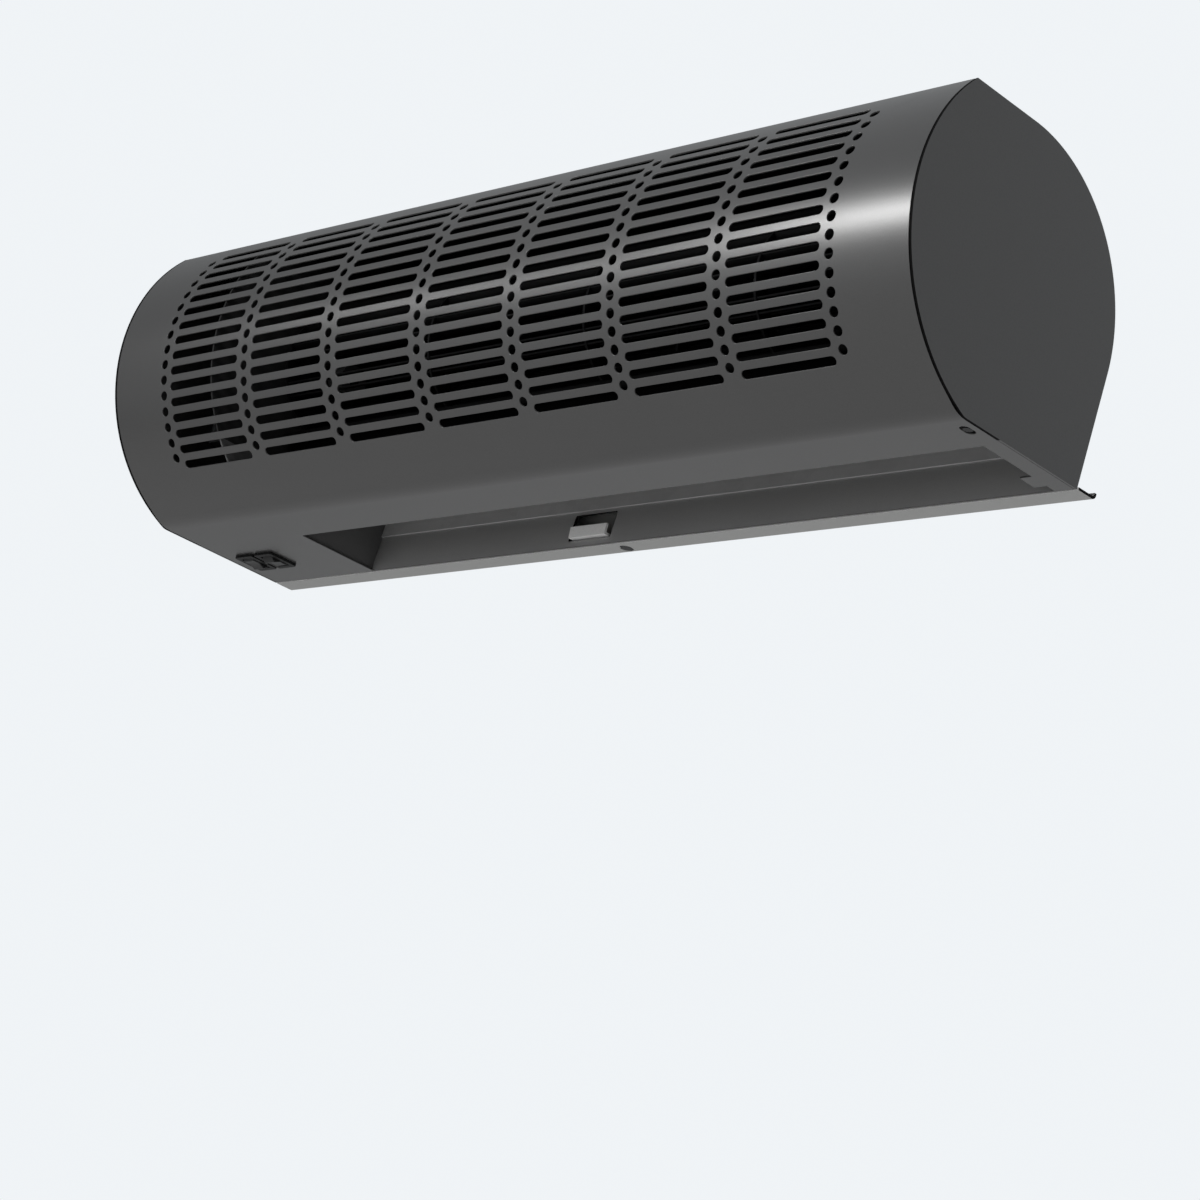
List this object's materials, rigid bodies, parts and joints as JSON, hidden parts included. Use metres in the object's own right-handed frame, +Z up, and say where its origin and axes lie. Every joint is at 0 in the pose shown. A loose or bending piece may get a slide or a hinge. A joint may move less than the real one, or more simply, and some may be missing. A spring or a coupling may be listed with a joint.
{
  "type": "air curtain",
  "caption": "Wall-hung air curtain: sheet-steel casing with a curved punched intake, crossflow impeller, finned heating rods, slot outlet below and rocker switches at one end.",
  "frame": {"origin": "middle of the four wall-screw holes, on the side of the wall plate that lies on the wall", "axes": "+X along the casing away from the switches, +Y into the wall, +Z up; the air blows down out of the bottom"},
  "size_m": [0.6, 0.165, 0.165],
  "materials": {
    "casing_paint": "satin, fine texture",
    "galvanised": "dull zinc",
    "plate_grey": "satin",
    "black_steel": "black oxide",
    "impeller_metal": "black anodised",
    "bright_steel": "ground",
    "motor_metal": "cast, bare",
    "rubber": "matte",
    "bronze": "sintered, oiled",
    "rod_metal": "heat-dulled",
    "ceramic": "unglazed ceramic look",
    "phenolic": "moulded",
    "capacitor_case": "smooth",
    "switch_frame": "fine grain",
    "switch_key": "fine grain"
  },
  "bodies": {
    "unit": {"grille_sheet": "casing_paint", "outlet_panel": "casing_paint", "back_panel": "casing_paint", "left_end_cap": "casing_paint", "right_end_cap": "casing_paint", "wall_plate": "plate_grey", "locking_screw": "black_steel", "cover_screw": "black_steel", "shell_screws": "black_steel", "drive_bulkhead": "galvanised", "bearing_bulkhead": "galvanised", "scroll_sheet": "galvanised", "tongue_sheet": "galvanised", "motor_housing": "motor_metal", "motor_cushions": "rubber", "motor_bracket": "galvanised", "motor_screws": "black_steel", "bearing_bush": "bronze", "bearing_cushion": "rubber", "bearing_holder": "galvanised", "heating_rod_front": "rod_metal", "heating_rod_rear": "rod_metal", "rod_insulators": "ceramic", "thermal_cutout": "phenolic", "electrics_bracket": "galvanised", "terminal_block": "ceramic", "run_capacitor": "capacitor_case", "cable_grommet": "rubber", "fan_switch_body": "switch_frame", "heat_switch_body": "switch_frame"},
    "rotor": {"impeller": "impeller_metal", "drive_hub": "rubber", "motor_shaft": "bright_steel", "stub_axle": "bright_steel"},
    "fan_key": {"fan_switch_rocker": "switch_key"},
    "heat_key": {"heat_switch_rocker": "switch_key"}
  },
  "joints": [
    {"name": "impeller_spin", "type": "hinge", "parent": "unit", "child": "rotor", "pos_m": [0, -0.078, 0.022], "axis": [1, 0, 0], "continuous": true},
    {"name": "fan_switch_tilt", "type": "hinge", "parent": "unit", "child": "fan_key", "pos_m": [-0.2808, -0.047, -0.0676], "axis": [1, 0, 0], "range_deg": [0, 22]},
    {"name": "heat_switch_tilt", "type": "hinge", "parent": "unit", "child": "heat_key", "pos_m": [-0.2632, -0.047, -0.0676], "axis": [1, 0, 0], "range_deg": [-22, 0]}
  ]
}
